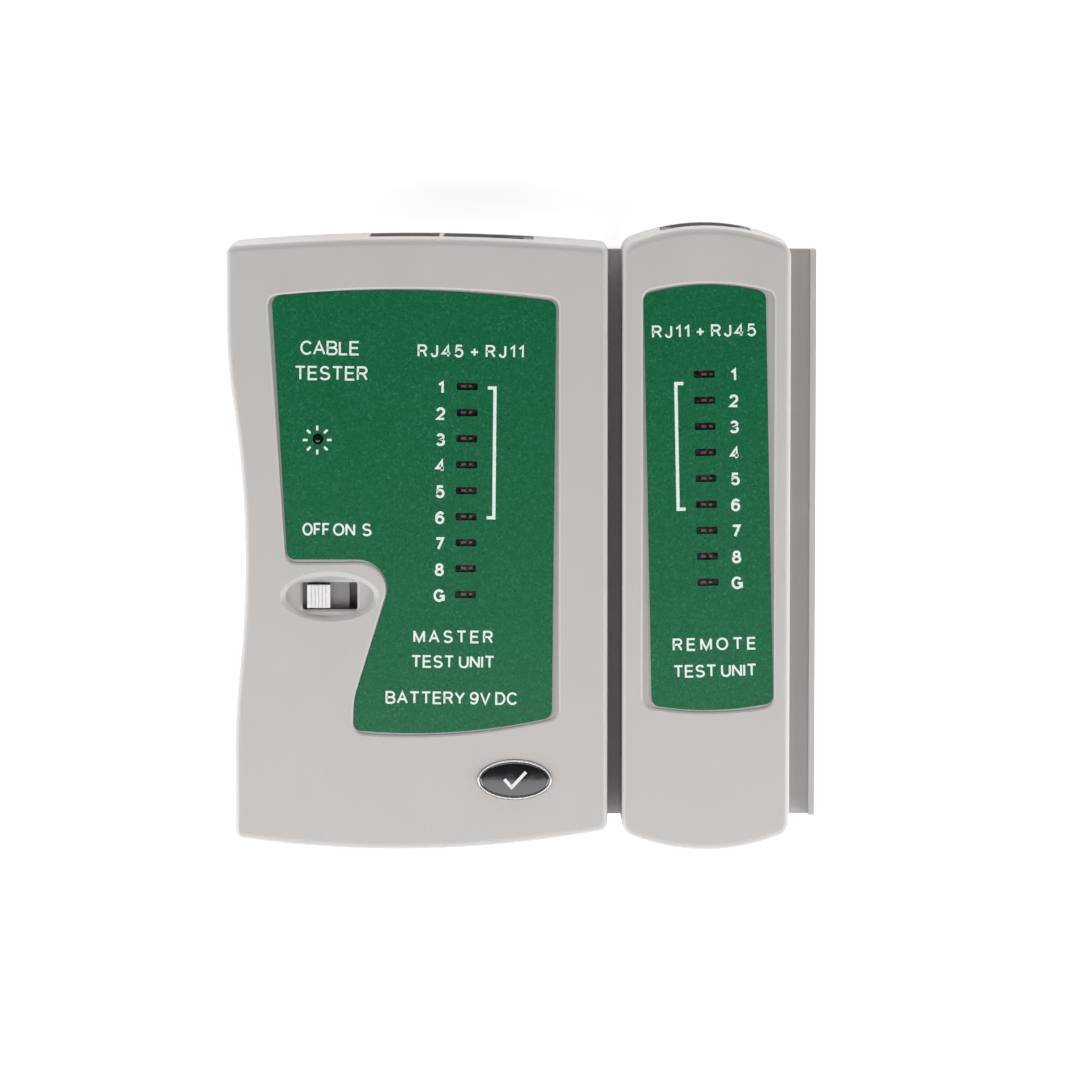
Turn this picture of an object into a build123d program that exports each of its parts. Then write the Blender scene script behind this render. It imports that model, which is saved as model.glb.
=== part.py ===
from build123d import *
import math
import os

os.makedirs("parts", exist_ok=True)

# A network cable tester: a wide master unit with a narrow remote unit docked on its side rail.
# Millimetres. The tester lies on its flat back: Z = 0 is the back face and +Z the front face,
# +Y is the jack end of the master, and +X points from the master to the remote. The dimensions
# below count Y from the middle of the front's markings; saving moves the origin to MIDDLE_Y.

# Casings
THICKNESS = 27.0
SPLIT_Z = THICKNESS / 2      # plane where the back and front shells meet
WALL = 2.0
DRAFT = 1.0                  # degrees, from the split plane to each face
FRONT_EDGE = 1.1             # rounding of the front face's rim
BACK_EDGE = 1.1
SEAM = 0.2                   # bevel of both shells along the split
MASTER_CORNER = 1.6          # rounding of the casings' corners, seen from the front
REMOTE_CORNER = 2.8
LEAST_CORNER = 0.5           # what is left of that rounding inside the walls
LIP_OUTER = 1.1              # the back shell's lip starts this far inside the outline
LIP_HEIGHT = 1.0
FIT = 0.1                    # gap between pieces that stay put
FAR = 100.0                  # size of cutting boxes that run right out of the object

MASTER_LEFT = -49.35
WAIST_RADII = (90.0, 175.0, 130.0)   # down the left side: outwards, in at the waist, outwards
MASTER_RIGHT = 14.5
REMOTE_LEFT = 16.5
REMOTE_RIGHT = 44.95
REMOTE_MIDDLE = (REMOTE_LEFT + REMOTE_RIGHT) / 2
REMOTE_SHOULDERS = (-50.1, 48.4)   # Y of the remote's corners, bottom and top
REMOTE_ENDS = (-53.2, 51.5)        # Y of the remote's rounded ends
MIDDLE_Y = sum(REMOTE_ENDS) / 2    # the whole outline's middle, which becomes the origin's Y

# Docking rail, a T in section: a neck with a head, on the right side of both units
RAIL_TOP = 47.3
RAIL_BOTTOM = -48.3
RAIL_REACH = 4.4
RAIL_HEAD = 1.0
RAIL_HEAD_HEIGHT = 8.0
RAIL_NECK_HEIGHT = 4.5
RAIL_GAP = 0.2               # running gap between the rail and the remote's groove
RAIL_ROOT = 0.9              # how far the rail runs into its casing wall
GROOVE_BACKING = 1.4         # wall behind and beside the groove

# Labels: stickers in shallow recesses of the front faces
RECESS_DEPTH = 0.5
STICKER = 0.25
RECESS_MARGIN = 0.35
LABEL_CORNER = 1.5
MASTER_LABEL_TURN = -0.6     # degrees, how far the sticker is crooked
MASTER_LABEL_CENTRE = (-17.0, 4.0)
MASTER_LABEL_RIGHT = 5.35
MASTER_RECESS_RIGHT = 5.8
REMOTE_LABEL_TURN = 1.2
REMOTE_LABEL_CENTRE = (31.1, 6.2)
REMOTE_LABEL_WIDTH = 20.3
REMOTE_RECESS_WIDTH = 21.2
LABEL_SLOT = (3.5, 1.2)
SLOT_RADIUS = 0.25
RIM_BEVEL = 0.35             # bevel round the label recesses and the switch slot

# Circuit boards, which hang under the front shells
BOARD = 1.6
BOARD_BOTTOM = 19.0
BOARD_TOP = BOARD_BOTTOM + BOARD
PIN_LENGTH = 0.9             # how far legs stick out behind a board
MASTER_BOARD = ((-42.5, 11.5), (-18.0, 45.6))
REMOTE_BOARD = ((20.8, 42.5), (-47.3, 45.6))
LEG_RADIUS = 0.25

# Indicator lamps: 1 to 8 and G
LED_NAMES = ["1", "2", "3", "4", "5", "6", "7", "8", "g"]
LED_PITCH = 4.35
LED_SIZE = (5.0, 2.0, 5.0)
LED_WINDOW = (5.4, 2.4)
LED_TOP = THICKNESS - RECESS_DEPTH - 0.1
MASTER_LED_X = -9.3
MASTER_LED_TOP_Y = 25.0
REMOTE_LED_X = 30.75
REMOTE_LED_TOP_Y = 27.0
POWER_LED = (-34.1, 16.0)
POWER_LED_RADIUS = 1.5
POWER_HOLE_RADIUS = 0.9
LED_LEGS = 1.27              # how far a lamp's legs stand from its middle
POWER_LED_LEGS = 0.9

# Modular jacks, which hang under the boards
JACK_HEIGHT = 13.0
JACK_ROOF = 2.7
PLUG_HEIGHT = 6.7
LATCH_WIDTH = 6.4
LATCH_HEIGHT = 1.9
CAVITY_DEPTH = 12.8
RJ45 = {"width": 14.8, "cavity": 11.7, "depth": 18.0, "contacts": 8}
RJ11 = {"width": 11.4, "cavity": 9.65, "depth": 16.0, "contacts": 6}
CONTACT_PITCH = 1.02
CONTACT_WIRE = 0.35
CONTACT_SLOT = 0.55
CONTACT_TAIL_Y = -12.5       # measured from the jack's face, as are the next three
CONTACT_TURN_Y = -3.1
CONTACT_TIP = (-10.2, -4.6)
CONTACT_RUN_Z = -1.7
JACK_WINDOW_INNER = 42.0     # the openings round the jacks run outwards from this Y
MASTER_JACK_FACE = 48.9
MASTER_RJ45_X = -5.65
MASTER_RJ11_X = -19.7
REMOTE_RJ45_FACE = 50.6
REMOTE_RJ11_FACE = -52.6

# Slide switch
SWITCH = (-32.1, -10.2)
SWITCH_TRAVEL = 3.7
DISH_RADII = (8.3, 4.2)
DISH_FLOOR_RADII = (7.4, 3.3)
DISH_DEPTH = 0.9
SWITCH_SLOT = (9.2, 4.6)
SWITCH_SLOT_CORNER = 0.4
KNOB = (3.8, 3.8)
KNOB_TOP = THICKNESS - 0.1
KNOB_GROOVES = [-1.2, -0.6, 0.0, 0.6, 1.2]
KNOB_GROOVE = (0.2, 0.12)    # width and depth
CARRIAGE = (10.1, 5.2, 1.4)
CARRIAGE_LIFT = 1.4          # underside of the carriage over the board
FRAME_SIZE = (15.0, 6.6, 3.5)
FRAME_WINDOW = (9.0, 4.4)
FRAME_SHEET = 0.4
SWITCH_BASE = 1.0
SWITCH_PINS = [-3.9, -1.3, 1.3, 3.9]

# Oval badge
BADGE = (-1.25, -41.0)
BADGE_RADII = (6.2, 3.35)
BADGE_RIM = 0.4
BADGE_SINK = 0.6
BADGE_RIM_TOP = THICKNESS + 0.3
BADGE_DOME_TOP = THICKNESS + 0.6

# Nine-volt block battery, lying across the bottom of the master
BATTERY = (48.5, 26.5, 17.5)
BATTERY_CENTRE = (-18.95, -34.45)
BATTERY_BOTTOM = 2.9
TERMINAL_LENGTH = 2.7
TERMINAL_SPACING = 12.7
STUD_RADIUS = 2.7
CUP_RADIUS = 4.0
SNAP = (2.2, 10.4)           # thickness and height of the snap connector's plate
SNAP_END = 5.9               # how far the plate runs past each terminal
LEAD_RADIUS = 0.7
LEAD_BEND = 3.0
RIBS_X = [-36.0, -19.0, -2.0]   # ribs under the front face that keep the battery down
RIB_WIDTH = 1.5
RIB_Y = (-46.0, -22.0)

# Battery cover: a plate with side tongues that runs in grooves of the back shell
COVER_X = (-44.0, 8.0)
COVER_TOP_Y = -20.6
COVER_THICKNESS = 2.6
TONGUE_REACH = 1.0
TONGUE_BOTTOM = 1.65
COVER_GAP = 0.15
COVER_LATCH_X = (-24.0, -12.0)
COVER_LATCH_REACH = 1.4
COVER_LATCH_BOTTOM = 1.4
GUIDE_WIDTH = 1.5            # the back shell's guides over the cover's tongues
GUIDE_ROOF = 1.2
GUIDE_BOTTOM_Y = -50.0
GRIP_GROOVES = 5
GRIP_PITCH = 1.6
GRIP_TOP_Y = -40.0
GRIP_X = (-26.0, -10.0)
GRIP_DEPTH = 0.4

# Screws
MASTER_CASE_SCREWS = [(-42.3, 42.5), (8.3, 42.5), (-42.0, -16.4), (3.5, -16.3)]
REMOTE_CASE_SCREWS = [(39.0, 24.0), (24.4, -22.0)]
MASTER_BOARD_SCREWS = [(-38.0, 26.0), (7.5, 24.0), (-19.5, -14.5)]
REMOTE_BOARD_SCREWS = [(24.4, 24.0), (39.0, -22.0)]
BACK_BOSS_RADIUS = 3.5
FRONT_BOSS_RADIUS = 2.6
BOARD_BOSS_RADIUS = 2.2
BOARD_PILOT_RADIUS = 1.0
BOSS_ROOT = 1.0              # solid part of a boss beyond its pilot hole
BOARD_BOSS_ROOT = 0.6
SCREW_HEAD_RADIUS = 2.3
SCREW_HEAD_HEIGHT = 1.6
SCREW_SEAT_Z = 6.0
SCREW_SHANK_RADIUS = 1.2
SCREW_ROOM = 0.2             # gap round a screw in its hole
CROSS_SLOT = (2.8, 0.5, 0.9)   # length, width and depth
BOARD_SCREW_HEAD = (2.0, 1.3)  # radius and height
BOARD_SCREW_SHANK = 0.95
BOARD_SCREW_SLOT = (2.6, 0.5, 0.7)

THROUGH_FRONT = (THICKNESS - WALL - 1, THICKNESS)   # heights of a cut through a front face

# Components on the boards
CHIP_PITCH = 2.54
CHIP_LIFT = 0.5
CHIP_BODY = (6.4, 3.3)       # width and height
CHIP_LEG = (0.46, 0.3)
CHIP_LEG_SPREAD = 7.62
CHIP_SHOULDER = 1.8
TIMER_CHIP = (-27.0, 8.0)
COUNTER_CHIP = (0.5, 8.0)
RESISTOR = (5.6, 1.15)       # length and radius, as for the diodes
RESISTORS = [(-18.5, 30.0 - 4.0 * i) for i in range(4)]
MASTER_DIODE = (4.0, 0.95)
MASTER_DIODES = [(-17.6, 4.0 - 3.5 * i) for i in range(3)]
REMOTE_DIODE = (3.6, 0.95)
REMOTE_DIODES = [(38.0, 17.0 - 4.0 * i) for i in range(8)]
AXIAL_LEG = 1.8              # straight run of leg at each end of such a part
CAPACITOR = (-34.0, 2.0)
CAPACITOR_SIZE = (2.5, 11.0)   # radius and length
CAPACITOR_LEGS = 1.0


# ---------------------------------------------------------------- small helpers

def block(x_range, y_range, z_range):
    """A box between two values on each axis."""
    size = [high - low for low, high in (x_range, y_range, z_range)]
    middle = [(low + high) / 2 for low, high in (x_range, y_range, z_range)]
    return Pos(*middle) * Box(*size)


def post(place, radius, z_low, z_high):
    """An upright cylinder between two heights."""
    return Pos(place[0], place[1], (z_low + z_high) / 2) * Cylinder(radius, z_high - z_low)


def prism(sketch, z_low, z_high):
    """A flat shape pulled up between two heights."""
    return extrude(Pos(0, 0, z_low) * sketch, amount=z_high - z_low)


def behind_split(shape):
    """The mirror image of a shape in the plane where the shells meet."""
    return mirror(shape, about=Plane.XY.offset(SPLIT_Z))


def save(name, *solids):
    """Write one sub-part, moved to the common origin; several solids make a group of like pieces."""
    moved = [Pos(0, -MIDDLE_Y, 0) * solid for solid in solids]
    shape = moved[0] if len(moved) == 1 else Compound(children=moved)
    shape.label = name
    export_step(shape, f"parts/{name}.step")


# ---------------------------------------------------------------- casings

def rounded_at(face, points, radius):
    """A flat shape with the corners nearest to some points rounded."""
    return fillet([face.vertices().sort_by_distance(point)[0] for point in points], radius)


def master_outline(inset=0.0):
    """The master seen from the front, shrunk by an inset: a waisted left side and bowed ends."""
    left_x = MASTER_LEFT + inset
    right_x = MASTER_RIGHT - inset
    top_left = (left_x, 48.4 - inset)
    top_right = (right_x, 48.2 - inset)
    bottom_right = (right_x, inset - 49.8)
    bottom_left = (inset - 48.3, inset - 51.1)
    left = FilletPolyline(
        top_left, (left_x, 28.7), (inset - 45.1, -0.6), (inset - 48.3, -30.6), bottom_left,
        radius=WAIST_RADII,
    )
    bottom = ThreePointArc(bottom_left, (-22.8, inset - 53.1), bottom_right)
    right = Line(bottom_right, top_right)
    top = ThreePointArc(top_right, (-20.3, 49.7 - inset), top_left)
    face = make_face([*left.edges(), bottom, right, top])
    corners = [top_left, top_right, bottom_right, bottom_left]
    return rounded_at(face, corners, max(MASTER_CORNER - inset, LEAST_CORNER))


def remote_outline(inset=0.0):
    """The remote seen from the front, shrunk by an inset: straight sides and well-rounded ends."""
    left_x = REMOTE_LEFT + inset
    right_x = REMOTE_RIGHT - inset
    low = REMOTE_SHOULDERS[0] + inset
    high = REMOTE_SHOULDERS[1] - inset
    bottom_end = (REMOTE_MIDDLE, REMOTE_ENDS[0] + inset)
    top_end = (REMOTE_MIDDLE, REMOTE_ENDS[1] - inset)
    top = ThreePointArc((right_x, high), top_end, (left_x, high))
    left = Line((left_x, high), (left_x, low))
    bottom = ThreePointArc((left_x, low), bottom_end, (right_x, low))
    right = Line((right_x, low), (right_x, high))
    face = make_face([top, left, bottom, right])
    return fillet(face.vertices(), max(REMOTE_CORNER - inset, LEAST_CORNER))


def casing_half(outline, edge_radius):
    """The outside and the hollow of the half that rises from the split plane."""
    drafted = SPLIT_Z * math.tan(math.radians(DRAFT))
    sections = [(SEAM, SPLIT_Z), (0.0, SPLIT_Z + SEAM), (drafted, THICKNESS)]
    faces = [(Pos(0, 0, z) * outline(inset)).face() for inset, z in sections]
    outside = loft(faces, ruled=True)
    outside = fillet(outside.faces().sort_by(Axis.Z)[-1].edges(), edge_radius)
    return outside, prism(outline(WALL), SPLIT_Z, THICKNESS - WALL)


def seam_lip(outline, outer, height):
    """A ring inside the wall, on the split plane."""
    return prism(outline(outer) - outline(WALL), SPLIT_Z, SPLIT_Z + height)


def rail_half(right_side):
    """The upper half of a T-shaped docking rail that stands on a casing's right side."""
    reach = right_side + RAIL_REACH
    along = (RAIL_BOTTOM, RAIL_TOP)
    neck = block((right_side - RAIL_ROOT, reach), along, (SPLIT_Z, SPLIT_Z + RAIL_NECK_HEIGHT / 2))
    head = block((reach - RAIL_HEAD, reach), along, (SPLIT_Z, SPLIT_Z + RAIL_HEAD_HEIGHT / 2))
    return neck + head


def groove_half():
    """The upper half of the remote's groove, which the master's rail runs in; its top end is shut."""
    head_back = MASTER_RIGHT + RAIL_REACH + RAIL_GAP
    head_front = MASTER_RIGHT + RAIL_REACH - RAIL_HEAD - RAIL_GAP
    along = (-FAR, RAIL_TOP + RAIL_GAP)
    neck_room = SPLIT_Z + RAIL_NECK_HEIGHT / 2 + RAIL_GAP
    head_room = SPLIT_Z + RAIL_HEAD_HEIGHT / 2 + RAIL_GAP
    mouth = block((MASTER_RIGHT, head_back), along, (SPLIT_Z, neck_room))
    pocket = block((head_front, head_back), along, (SPLIT_Z, head_room))
    return mouth + pocket


def groove_backing_half(outside):
    """The thick wall round the upper half of the groove, kept inside the casing."""
    back = MASTER_RIGHT + RAIL_REACH + RAIL_GAP + GROOVE_BACKING
    height = RAIL_HEAD_HEIGHT / 2 + RAIL_GAP + GROOVE_BACKING
    return outside & block((REMOTE_LEFT, back), (-FAR, FAR), (SPLIT_Z, SPLIT_Z + height))


def lip_keep_out():
    """Where the remote's seam lip makes way for the groove."""
    back = MASTER_RIGHT + RAIL_REACH + RAIL_GAP + GROOVE_BACKING + FIT
    return block((REMOTE_LEFT, back), (-FAR, FAR), (SPLIT_Z - 1, SPLIT_Z + 2 * LIP_HEIGHT))


def front_boss(place):
    """A boss under the front face for a case screw."""
    return post(place, FRONT_BOSS_RADIUS, SPLIT_Z, THICKNESS - WALL)


def front_pilot(place):
    return post(place, SCREW_SHANK_RADIUS + FIT / 2, SPLIT_Z, THICKNESS - WALL - BOSS_ROOT)


def board_boss(place):
    """A short boss that a board is screwed against."""
    return post(place, BOARD_BOSS_RADIUS, BOARD_TOP, THICKNESS - WALL)


def board_pilot(place):
    return post(place, BOARD_PILOT_RADIUS, BOARD_TOP, THICKNESS - WALL - BOARD_BOSS_ROOT)


def back_boss(place):
    """A boss on the back face that a case screw passes through."""
    return post(place, BACK_BOSS_RADIUS, WALL / 2, SPLIT_Z)


def back_screw_room(place):
    """The counterbore and the clearance hole of a case screw."""
    counterbore = post(place, SCREW_HEAD_RADIUS + SCREW_ROOM, 0, SCREW_SEAT_Z)
    return counterbore + post(place, SCREW_SHANK_RADIUS + SCREW_ROOM, 0, SPLIT_Z)


def jack_window(x, jack, y_range):
    """The opening in both shells round a jack."""
    half = jack["width"] / 2 + COVER_GAP
    z_range = (BOARD_BOTTOM - JACK_HEIGHT - COVER_GAP, BOARD_BOTTOM + COVER_GAP)
    return block((x - half, x + half), y_range, z_range)


def led_places(x, top_y):
    return [(x, top_y - LED_PITCH * i) for i in range(len(LED_NAMES))]


def led_windows(x, top_y):
    """Windows in a front shell, one over each lamp."""
    window = Rectangle(*LED_WINDOW)
    return [prism(Pos(*place) * window, *THROUGH_FRONT) for place in led_places(x, top_y)]


# ---------------------------------------------------------------- labels

def master_label_outline(right_x):
    """The label's shape: bowed top and bottom, and a bite round the switch at the lower left."""
    top_left = (-42.0, 39.65)
    top_right = (right_x, 39.25)
    bottom_right = (right_x, -30.3)
    bottom_left = (-27.9, -32.8)
    left = FilletPolyline(
        top_left, (-39.1, -4.25), (-20.6, -4.05), (-27.75, -27.5), bottom_left,
        radius=(LABEL_CORNER, 5.0, 12.0),
    )
    bottom = ThreePointArc(bottom_left, (-13.6, -33.1), bottom_right)
    right = Line(bottom_right, top_right)
    top = ThreePointArc(top_right, (-22.4, 40.85), top_left)
    face = make_face([*left.edges(), bottom, right, top])
    return rounded_at(face, [top_left, top_right, bottom_right, bottom_left], LABEL_CORNER)


def remote_label_outline(width):
    """A tall label with bowed ends."""
    x, _ = REMOTE_LABEL_CENTRE
    left_x = x - width / 2
    right_x = x + width / 2
    top = ThreePointArc((right_x, 40.4), (x, 41.8), (left_x, 40.4))
    bottom = ThreePointArc((left_x, -28.3), (x, -29.3), (right_x, -28.3))
    sides = [Line(top @ 1, bottom @ 0), Line(bottom @ 1, top @ 0)]
    face = make_face([top, bottom, *sides])
    return fillet(face.vertices(), LABEL_CORNER)


def label_slots(x, top_y):
    return [Pos(*place) * RectangleRounded(*LABEL_SLOT, SLOT_RADIUS) for place in led_places(x, top_y)]


def turned(sketch, centre, degrees):
    """A flat shape turned about a point of the front face."""
    x, y = centre
    return Pos(x, y) * Rot(0, 0, degrees) * Pos(-x, -y) * sketch


def sticker_body(sketch):
    floor = THICKNESS - RECESS_DEPTH
    return prism(sketch, floor, floor + STICKER)


def master_label():
    face = master_label_outline(MASTER_LABEL_RIGHT)
    for slot in label_slots(MASTER_LED_X, MASTER_LED_TOP_Y):
        face -= slot
    face -= Pos(*POWER_LED) * Circle(POWER_HOLE_RADIUS)
    return sticker_body(turned(face, MASTER_LABEL_CENTRE, MASTER_LABEL_TURN))


def remote_label():
    face = remote_label_outline(REMOTE_LABEL_WIDTH)
    for slot in label_slots(REMOTE_LED_X, REMOTE_LED_TOP_Y):
        face -= slot
    return sticker_body(turned(face, REMOTE_LABEL_CENTRE, REMOTE_LABEL_TURN))


def beveled_cut(sketch, rim, floor_z, top_z):
    """A straight cut whose upper edge is beveled; the rim is the sketch grown by the bevel."""
    waist_z = top_z - RIM_BEVEL
    bevel = loft([(Pos(0, 0, waist_z) * sketch).face(), (Pos(0, 0, top_z) * rim).face()], ruled=True)
    return bevel + prism(sketch, floor_z, waist_z)


def label_recess(outline):
    wall = offset(outline, RECESS_MARGIN)
    rim = offset(outline, RECESS_MARGIN + RIM_BEVEL)
    return beveled_cut(wall, rim, THICKNESS - RECESS_DEPTH, THICKNESS)


# ---------------------------------------------------------------- master shells

def switch_opening():
    """The dished hollow round the switch and the slot in its floor."""
    rim = Pos(*SWITCH, THICKNESS) * Ellipse(*DISH_RADII)
    floor = Pos(*SWITCH, THICKNESS - DISH_DEPTH) * Ellipse(*DISH_FLOOR_RADII)
    dish = loft([floor.face(), rim.face()], ruled=True)
    length, width = SWITCH_SLOT
    corner = SWITCH_SLOT_CORNER
    slot = Pos(*SWITCH) * RectangleRounded(length, width, corner)
    grown = 2 * RIM_BEVEL
    slot_rim = Pos(*SWITCH) * RectangleRounded(length + grown, width + grown, corner + RIM_BEVEL)
    return [dish, beveled_cut(slot, slot_rim, THROUGH_FRONT[0], THICKNESS - DISH_DEPTH)]


def badge_seat():
    shape = Pos(*BADGE) * Ellipse(BADGE_RADII[0] + FIT, BADGE_RADII[1] + FIT)
    return prism(shape, THICKNESS - BADGE_SINK, THICKNESS + 1)


def battery_ribs():
    heights = (BATTERY_BOTTOM + BATTERY[2] + FIT, THICKNESS - WALL)
    return [block((x, x + RIB_WIDTH), RIB_Y, heights) for x in RIBS_X]


def master_jack_windows():
    beyond = (JACK_WINDOW_INNER, FAR)
    return [
        jack_window(MASTER_RJ45_X, RJ45, beyond),
        jack_window(MASTER_RJ11_X, RJ11, beyond),
    ]


def master_front_shell(outline):
    outside, hollow = casing_half(outline, FRONT_EDGE)
    shell = outside - hollow
    for place in MASTER_CASE_SCREWS:
        shell += front_boss(place)
    for place in MASTER_BOARD_SCREWS:
        shell += board_boss(place)
    for rib in battery_ribs():
        shell += rib
    shell -= seam_lip(outline, LIP_OUTER - FIT, LIP_HEIGHT + FIT)
    shell += rail_half(MASTER_RIGHT)
    pilots = [front_pilot(place) for place in MASTER_CASE_SCREWS]
    pilots += [board_pilot(place) for place in MASTER_BOARD_SCREWS]
    cuts = pilots + master_jack_windows() + led_windows(MASTER_LED_X, MASTER_LED_TOP_Y)
    cuts += switch_opening() + [badge_seat(), label_recess(master_label_outline(MASTER_RECESS_RIGHT))]
    cuts.append(post(POWER_LED, POWER_LED_RADIUS + FIT, *THROUGH_FRONT))
    for cut in cuts:
        shell -= cut
    return shell


def cover_guides():
    """Rails on the back shell's floor, beside the battery opening, that hold the cover's tongues."""
    left, right = COVER_X
    top = COVER_THICKNESS + COVER_GAP + GUIDE_ROOF
    outer = TONGUE_REACH + GUIDE_WIDTH
    along = (GUIDE_BOTTOM_Y, COVER_TOP_Y + GUIDE_ROOF)
    return [
        block((left - outer, left - COVER_GAP), along, (WALL / 2, top)),
        block((right + COVER_GAP, right + outer), along, (WALL / 2, top)),
    ]


def cover_room():
    """The opening that the battery cover fills, with the grooves for its tongues."""
    left, right = COVER_X
    edge = COVER_TOP_Y + COVER_GAP
    reach = TONGUE_REACH + COVER_GAP
    tongue_room = (TONGUE_BOTTOM - COVER_GAP, COVER_THICKNESS + COVER_GAP)
    opening = block((left - COVER_GAP, right + COVER_GAP), (-FAR, edge), (0, tongue_room[1]))
    grooves = block((left - reach, right + reach), (-FAR, edge), tongue_room)
    latch_left, latch_right = COVER_LATCH_X
    latch = block(
        (latch_left - COVER_GAP, latch_right + COVER_GAP),
        (COVER_TOP_Y - 1, edge + COVER_LATCH_REACH),
        (COVER_LATCH_BOTTOM - COVER_GAP, tongue_room[1]),
    )
    return opening + grooves + latch


def master_back_shell(outline):
    outside, hollow = casing_half(outline, BACK_EDGE)
    shell = behind_split(outside - hollow + rail_half(MASTER_RIGHT))
    outside = behind_split(outside)
    for place in MASTER_CASE_SCREWS:
        shell += back_boss(place)
    for guide in cover_guides():
        shell += outside & guide
    shell += seam_lip(outline, LIP_OUTER, LIP_HEIGHT)
    cuts = [back_screw_room(place) for place in MASTER_CASE_SCREWS] + master_jack_windows()
    for cut in cuts + [cover_room()]:
        shell -= cut
    return shell


def battery_cover(outline):
    """A plate cut from the back's own shape, with side tongues, a latch tongue and grip grooves."""
    outside, _ = casing_half(outline, BACK_EDGE)
    outside = behind_split(outside)
    left, right = COVER_X
    below_edge = (-FAR, COVER_TOP_Y)
    plate = block(COVER_X, below_edge, (0, COVER_THICKNESS))
    tongue_x = (left - TONGUE_REACH, right + TONGUE_REACH)
    tongues = block(tongue_x, below_edge, (TONGUE_BOTTOM, COVER_THICKNESS))
    cover = outside & (plate + tongues)
    latch_y = (COVER_TOP_Y - 1, COVER_TOP_Y + COVER_LATCH_REACH)
    cover += block(COVER_LATCH_X, latch_y, (COVER_LATCH_BOTTOM, COVER_THICKNESS))
    for i in range(GRIP_GROOVES):
        y = GRIP_TOP_Y - GRIP_PITCH * i
        cover -= block(GRIP_X, (y, y + GRIP_PITCH / 2), (0, GRIP_DEPTH))
    return cover


# ---------------------------------------------------------------- remote shells

def remote_jack_windows():
    return [
        jack_window(REMOTE_MIDDLE, RJ45, (JACK_WINDOW_INNER, FAR)),
        jack_window(REMOTE_MIDDLE, RJ11, (-FAR, -JACK_WINDOW_INNER)),
    ]


def remote_front_shell(outline):
    outside, hollow = casing_half(outline, FRONT_EDGE)
    shell = outside - hollow
    shell -= seam_lip(outline, LIP_OUTER - FIT, LIP_HEIGHT + FIT) - lip_keep_out()
    shell += groove_backing_half(outside)
    for place in REMOTE_CASE_SCREWS:
        shell += front_boss(place)
    for place in REMOTE_BOARD_SCREWS:
        shell += board_boss(place)
    shell += rail_half(REMOTE_RIGHT)
    cuts = [front_pilot(place) for place in REMOTE_CASE_SCREWS]
    cuts += [board_pilot(place) for place in REMOTE_BOARD_SCREWS]
    cuts += remote_jack_windows() + led_windows(REMOTE_LED_X, REMOTE_LED_TOP_Y)
    cuts += [groove_half(), label_recess(remote_label_outline(REMOTE_RECESS_WIDTH))]
    for cut in cuts:
        shell -= cut
    return shell


def remote_back_shell(outline):
    outside, hollow = casing_half(outline, BACK_EDGE)
    shell = outside - hollow + groove_backing_half(outside) + rail_half(REMOTE_RIGHT)
    shell = behind_split(shell)
    for place in REMOTE_CASE_SCREWS:
        shell += back_boss(place)
    shell += seam_lip(outline, LIP_OUTER, LIP_HEIGHT) - lip_keep_out()
    cuts = [back_screw_room(place) for place in REMOTE_CASE_SCREWS]
    for cut in cuts + remote_jack_windows() + [behind_split(groove_half())]:
        shell -= cut
    return shell


# ---------------------------------------------------------------- jacks

def at_jack(x, face_y, turn=0):
    """Where a jack goes: its own face is at Y = 0 and its top at Z = 0."""
    return Pos(x, face_y, BOARD_BOTTOM) * Rot(0, 0, turn)


def contact_offsets(jack):
    count = jack["contacts"]
    return [CONTACT_PITCH * (i - (count - 1) / 2) for i in range(count)]


def jack_housing(jack):
    """A plastic modular jack with its plug cavity, the channel for the plug's latch and wire slots."""
    half = jack["width"] / 2
    cavity = jack["cavity"] / 2
    cavity_floor = -JACK_ROOF - PLUG_HEIGHT
    inward = (-CAVITY_DEPTH, 1)
    body = block((-half, half), (-jack["depth"], 0), (-JACK_HEIGHT, 0))
    body -= block((-cavity, cavity), inward, (cavity_floor, -JACK_ROOF))
    latch = LATCH_WIDTH / 2
    body -= block((-latch, latch), inward, (cavity_floor - LATCH_HEIGHT, cavity_floor + 1))
    slot = CONTACT_SLOT / 2
    run_room = (-CAVITY_DEPTH, CONTACT_TURN_Y + CONTACT_SLOT)
    tail_room = (-CAVITY_DEPTH, CONTACT_TAIL_Y + slot)
    slot_roof = CONTACT_RUN_Z + slot
    for x in contact_offsets(jack):
        body -= block((x - slot, x + slot), run_room, (-JACK_ROOF - 0.5, slot_roof))
        body -= block((x - slot, x + slot), tail_room, (CONTACT_RUN_Z, 0))
    return body


def wire_run(x, start, end):
    """One straight run of a square wire, between two (y, z) points."""
    dy = end[0] - start[0]
    dz = end[1] - start[1]
    run = Vector(0, dy, dz)
    middle = Vector(x, (start[0] + end[0]) / 2, (start[1] + end[1]) / 2)
    along = Plane(origin=middle, x_dir=(1, 0, 0), z_dir=run.normalized())
    return along * Box(CONTACT_WIRE, CONTACT_WIRE, run.length + CONTACT_WIRE)


def jack_contact(x):
    """A spring wire: a tail through the board, a run along the roof and a sloping free end."""
    tail = (CONTACT_TAIL_Y, BOARD + CONTACT_WIRE)
    corner = (CONTACT_TAIL_Y, CONTACT_RUN_Z)
    turn = (CONTACT_TURN_Y, CONTACT_RUN_Z)
    return wire_run(x, tail, corner) + wire_run(x, corner, turn) + wire_run(x, turn, CONTACT_TIP)


def jack_contacts(jack):
    return [jack_contact(x) for x in contact_offsets(jack)]


# ---------------------------------------------------------------- lamps and components

def legs(place, spread, top_z):
    """Two round legs, side by side, from a height down through the board."""
    x, y = place
    bottom = BOARD_BOTTOM - PIN_LENGTH
    return post((x - spread, y), LEG_RADIUS, bottom, top_z) + post((x + spread, y), LEG_RADIUS, bottom, top_z)


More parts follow.
